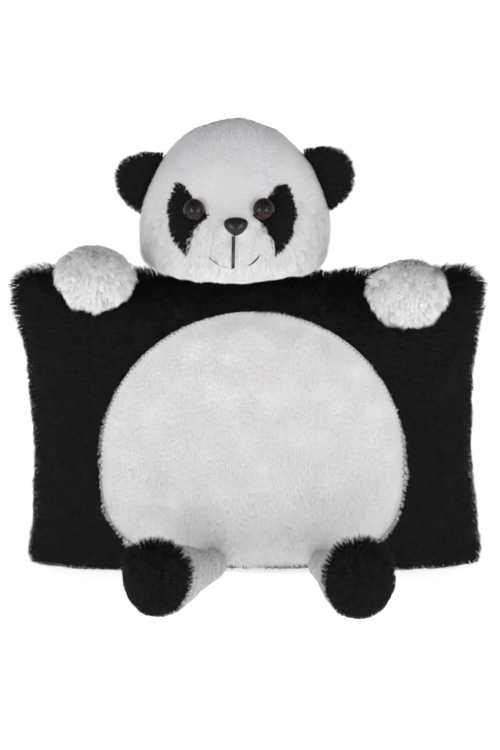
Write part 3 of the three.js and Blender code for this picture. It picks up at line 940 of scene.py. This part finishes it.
def build_nose():
    """A glossy triangle with round corners, domed towards the front."""
    around, rings = 48, 12
    points = [(0, 0, NOSE["out"])]
    for r in range(1, rings + 1):
        tilt = math.pi / 2 * r / rings
        share, height = math.sin(tilt) ** 0.85, NOSE["out"] * math.cos(tilt) ** 0.8
        for i in range(around):
            angle = 2 * math.pi * i / around
            x, z = math.cos(angle), math.sin(angle)
            taper = 1 - 0.30 * (1 - z) ** 1.3 / 2
            x, z = x * taper * 1.06, z * 0.9 + 0.10 * x * x
            points.append((NOSE["half_width"] * x * share, NOSE["half_height"] * z * share, height))
    rim = points[-around:]
    points += [(0.9 * x, 0.9 * y, -NOSE["wall"]) for x, y, _ in rim]  # down in the pile
    faces = disc_faces(rings + 1, around)
    faces.append(tuple(len(points) - 1 - i for i in range(around)))
    nose = mesh_object("nose_pad", points, faces)
    nose.matrix_world = upright(face_frame(NOSE["x"], NOSE["z"], 0.0012))
    finish_piece(nose, NOSE_PLASTIC, "head", stands_for=("nose",))


def upright(matrix):
    """The same place and +Z, with +Y as near to straight up as it can be."""
    out = matrix.to_3x3().col[2]
    across = Vector((0, 0, 1)).cross(out).normalized()
    axes = Matrix((across, out.cross(across), out)).transposed()
    return Matrix.Translation(matrix.translation) @ axes.to_4x4()


def smooth_line(places, count):
    """A curve through three places, as X and Z."""
    a, b, c = [np.array(p) for p in places]
    t = np.linspace(0, 1, count)[:, None]
    control = 2 * b - (a + c) / 2
    return a * (1 - t) ** 2 + control * 2 * t * (1 - t) + c * t * t


def build_mouth(tree):
    """Two strokes for the mouth and a twisted thread under the nose, lying on the cover's pile."""
    def along(places, count, lift):
        return lay_on(tree, smooth_line(places, count) + [HEAD["x"], HEAD["z"]], lift)

    strokes = {
        "mouth_left": ([(-0.0065, -0.0262), (-0.016, -0.0228), (-0.0255, -0.0155)], 0.0005),
        "mouth_right": ([(0.0115, -0.0245), (0.0172, -0.0212), (0.0225, -0.0155)], 0.0007),
    }
    for name, (places, radius) in strokes.items():
        node = name.replace("mouth_", "mouth_stitch_")
        taper = radius * np.sqrt(np.clip(1.02 - np.linspace(-1, 1, 30) ** 2, 0.05, 1))
        stroke = tube(name, along(places, 30, 0.0038), taper, 8)
        finish_piece(stroke, THREAD, bend=HEAD_BEND, stands_for=(node,))
    line = along([(-0.0012, 0.002), (-0.0016, -0.012), (-0.0022, -0.0265)], 130, 0.0040)
    turns = np.linspace(0, 2 * math.pi * 5.5, len(line))
    strands = []
    for phase in (0, math.pi):
        wind = np.stack([np.cos(turns + phase), -np.sin(turns + phase) * 0.6, 0 * turns], 1) * 0.0011
        strands.append(tube("strand", line + wind, 0.00065, 8))
    finish_piece(
        joined("philtrum_thread", strands), THREAD, bend=HEAD_BEND,
        stands_for=("philtrum_stitch",),
    )


def joined(name, objects):
    """One object of several, which are removed."""
    points, faces, start = [], [], 0
    for obj in objects:
        co = coordinates(obj)
        points.append(co)
        faces += [tuple(v + start for v in p.vertices) for p in obj.data.polygons]
        start += len(co)
        discard(obj)
    return mesh_object(name, np.concatenate(points), faces)


# ---- Ears ----


def build_ears():
    for side in EARS:
        matrix = np.array(ear_frame(side))
        root, out = matrix[:3, 3], matrix[:3, 0]
        hinge = root + out * EAR["hinge"]
        bend = ("head", f"ear_{side}", tuple(hinge - out * 0.003), tuple(hinge + out * 0.006))
        shape = ear_shape(side, INSET["ear"])
        cover = stuffed(f"ear_{side}_cover", shape, voxel=0.0025, cap=0.002, lumps=(0.0004, 0.02))
        stands_for = (f"ear_{side}_front", f"ear_{side}_back")
        finish_piece(cover, BLACK_COVER, bend=bend, stands_for=stands_for)
        roots, normals = sow(cover, 0.0009, 61)
        centre = root - out * 0.004
        comb = unit(roots - centre)
        reach = (roots - root) @ out
        length = 0.0075 + 0.0035 * smoothstep(reach, 0.008, 0.028)
        coat = grow(
            f"ear_{side}_pile", roots, normals, comb, length, lean=52, width=0.00055, seed=62,
            tuft=0.0045, clump=0.5,
        )
        finish_piece(coat, BLACK_PILE, bend=bend)


# ---- Arms and legs ----


def build_limb(name, size, pivot, towards):
    matrix = placement(pivot, towards)
    out = np.array(matrix)[:3, 2]
    leg = name.startswith("leg")
    end = "sole" if leg else "paw"
    points, faces = turned(limb_profile(size, INSET["limb"]), 36, size["widen"])
    shape = (moved(points, matrix), faces)
    whole = stuffed(f"{name}_whole", shape, voxel=0.004, cap=0.003, lumps=(0.0005, 0.03))
    bend = ("cushion", name, tuple(np.array(pivot) - out * 0.012), tuple(np.array(pivot) + out * 0.016))

    def along(points):
        return (points - np.array(pivot)) @ out

    sleeve = only_faces(whole, f"{name}_sleeve_cover", lambda p: along(p) < size["sleeve"])
    pad = only_faces(whole, f"{name}_{end}_cover", lambda p: along(p) >= size["sleeve"])
    discard(whole)
    white = (WHITE_COVER, WHITE_PILE, "white_plush")
    black = (BLACK_COVER, BLACK_PILE, "black_plush")

    cover, pile, slot = white if leg else black
    stands_for = (f"{name}_sleeve", f"{name}_filling")
    finish_piece(sleeve, cover, bend=bend, stands_for=stands_for)
    finish_piece(sleeve_coat(f"{name}_sleeve_pile", sleeve, out, leg), pile, bend=bend)

    cover, pile, slot = black if leg else white
    finish_piece(pad, cover, name, stands_for=(f"{name}_{end}",))
    tip = np.array(pivot) + out * (size["tip"] - 0.01)
    finish_piece(pad_coat(f"{name}_{end}_pile", pad, size, tip, out, leg), pile, name)


def sleeve_coat(name, sleeve, out, leg):
    """Short and smooth on a leg, long and tufted on an arm."""
    roots, normals = sow(sleeve, 0.0009, 71)
    comb = np.tile(out * 0.5 + [0, 0, -0.5], (len(roots), 1))
    length, lean, clump = (0.0055, 74, 0.08) if leg else (0.0100, 50, 0.45)
    lengths = np.full(len(roots), length)
    return grow(
        name, roots, normals, comb, lengths, lean, width=0.0006, seed=72,
        tuft=0.0045, clump=clump, stray=0.25,
    )


def pad_coat(name, pad, size, tip, out, leg):
    """A sole is longest round its upper rim. A paw hangs down, and is longest below and beside."""
    roots, normals = sow(pad, 0.00085, 73)
    spread = roots - tip
    spread -= np.outer(spread @ out, out)
    radius = np.linalg.norm(spread, axis=1)
    rim = smoothstep(radius, size["pad"] * 0.55, size["pad"] * 0.95)
    if leg:
        shaggy = rim * smoothstep(spread[:, 2], -0.005, 0.025)
        length = 0.0058 + 0.0080 * shaggy
        comb = unit(spread) + [0, 0, 0.05]
        lean = 58 - 10 * shaggy
    else:
        lower = smoothstep(-spread[:, 2], -0.005, 0.025)
        beside = smoothstep(np.abs(spread[:, 0]), 0.015, 0.035)
        shaggy = rim * np.maximum(lower, beside)
        length = 0.0090 + 0.0050 * shaggy
        comb = unit(spread) * (0.25 + 0.55 * rim[:, None]) + [0, 0, -0.7]
        lean = 66 - 14 * shaggy
    return grow(
        name, roots, normals, comb, length, lean, width=0.00055, seed=74,
        tuft=0.0048, clump=0.6, relief=0.2,
    )


# ---- Carried-over hardware ----


def dress_hardware():
    """The stems and washers inside the head keep their CAD shapes."""
    for name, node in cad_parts.items():
        material = None
        if name.endswith("_stem"):
            material, slot = STEM_PLASTIC, "black_plastic"
        elif name.endswith("washer"):
            material, slot = WASHER_PLASTIC, "washer_plastic"
        if material is not None:
            node.data.materials.clear()
            node.data.materials.append(material)


# ---- Floor, light and camera ----


def build_stage():
    mesh = bpy.data.meshes.new("floor")
    radius, steps = 30, 96
    angles = [2 * math.pi * i / steps for i in range(steps)]
    ring = [(radius * math.cos(a), radius * math.sin(a), 0) for a in angles]
    mesh.from_pydata(ring, [], [tuple(range(steps))])
    floor = bpy.data.objects.new("floor", mesh)
    SCENE.collection.objects.link(floor)
    m = Nodes("pale_glowing_floor")
    # The floor glows: its emission is a painted fill light that lights the model from below, and it also
    # keeps the floor white.
    m.set(
        Base_Color=(0.80, 0.80, 0.80, 1), Roughness=0.9, Specular_IOR_Level=0.1,
        Emission_Color=(1, 1, 1, 1), Emission_Strength=0.75,
    )
    mesh.materials.append(m.material)

    world = bpy.data.worlds.new("studio")
    world.use_nodes = True
    sky = world.node_tree
    place = sky.nodes.new("ShaderNodeTexCoord")
    height = sky.nodes.new("ShaderNodeSeparateXYZ")
    shade = sky.nodes.new("ShaderNodeValToRGB")  # bright round the horizon and dimmer overhead
    shade.color_ramp.elements[0].position = 0.1
    shade.color_ramp.elements[0].color = (1.0, 1.0, 1.0, 1)
    shade.color_ramp.elements[1].color = (0.15, 0.14, 0.17, 1)
    sky.links.new(place.outputs["Generated"], height.inputs[0])
    sky.links.new(height.outputs["Z"], shade.inputs[0])
    sky.links.new(shade.outputs[0], sky.nodes["Background"].inputs["Color"])
    SCENE.world = world

    lights = (
        ("front_left", (-1.7, -2.8, 0.12), 1.6, 27),
        ("front_right", (1.7, -2.8, 0.10), 1.6, 24),
        ("sparkle_left", (-1.7, -2.7, 1.25), 0.3, 3),
        ("sparkle_right", (1.7, -2.7, 1.35), 0.3, 3),
    )
    for name, place, size, power in lights:
        light = bpy.data.lights.new(name, "AREA")
        light.shape = "DISK"
        light.size = size
        light.energy = power
        lamp = bpy.data.objects.new(name, light)
        SCENE.collection.objects.link(lamp)
        lamp.location = place
        aim = Vector((0, 0, 0.2)) - Vector(place)
        lamp.rotation_mode = "QUATERNION"
        lamp.rotation_quaternion = aim.to_track_quat("-Z", "Y")


def build_camera():
    distance, elevation, aim = 1.9, math.radians(13), Vector((0, -0.030, 0.215))
    camera = bpy.data.cameras.new("camera")
    camera.sensor_fit = "AUTO"
    camera.sensor_width = 36
    camera.lens = 93.06
    camera.shift_x = -0.0013
    camera.shift_y = -0.0077
    holder = bpy.data.objects.new("camera", camera)
    SCENE.collection.objects.link(holder)
    back = Vector((0, -math.cos(elevation), math.sin(elevation)))
    holder.location = aim + back * distance
    holder.rotation_mode = "QUATERNION"
    holder.rotation_quaternion = (-back).to_track_quat("-Z", "Y")
    SCENE.camera = holder


# ---- Assembly ----

build_camera()
build_stage()
SCENE.view_settings.view_transform = "Standard"
cushion = build_cushion()
cushion_pile(cushion)
build_belly(cushion)
head = build_head()
head_tree = tree_of(head)
build_eye_patches(head_tree)
build_eyes()
build_nose()
build_mouth(head_tree)
build_ears()
for limb, (size, pivot, towards) in LIMBS.items():
    build_limb(limb, size, pivot, towards)
dress_hardware()
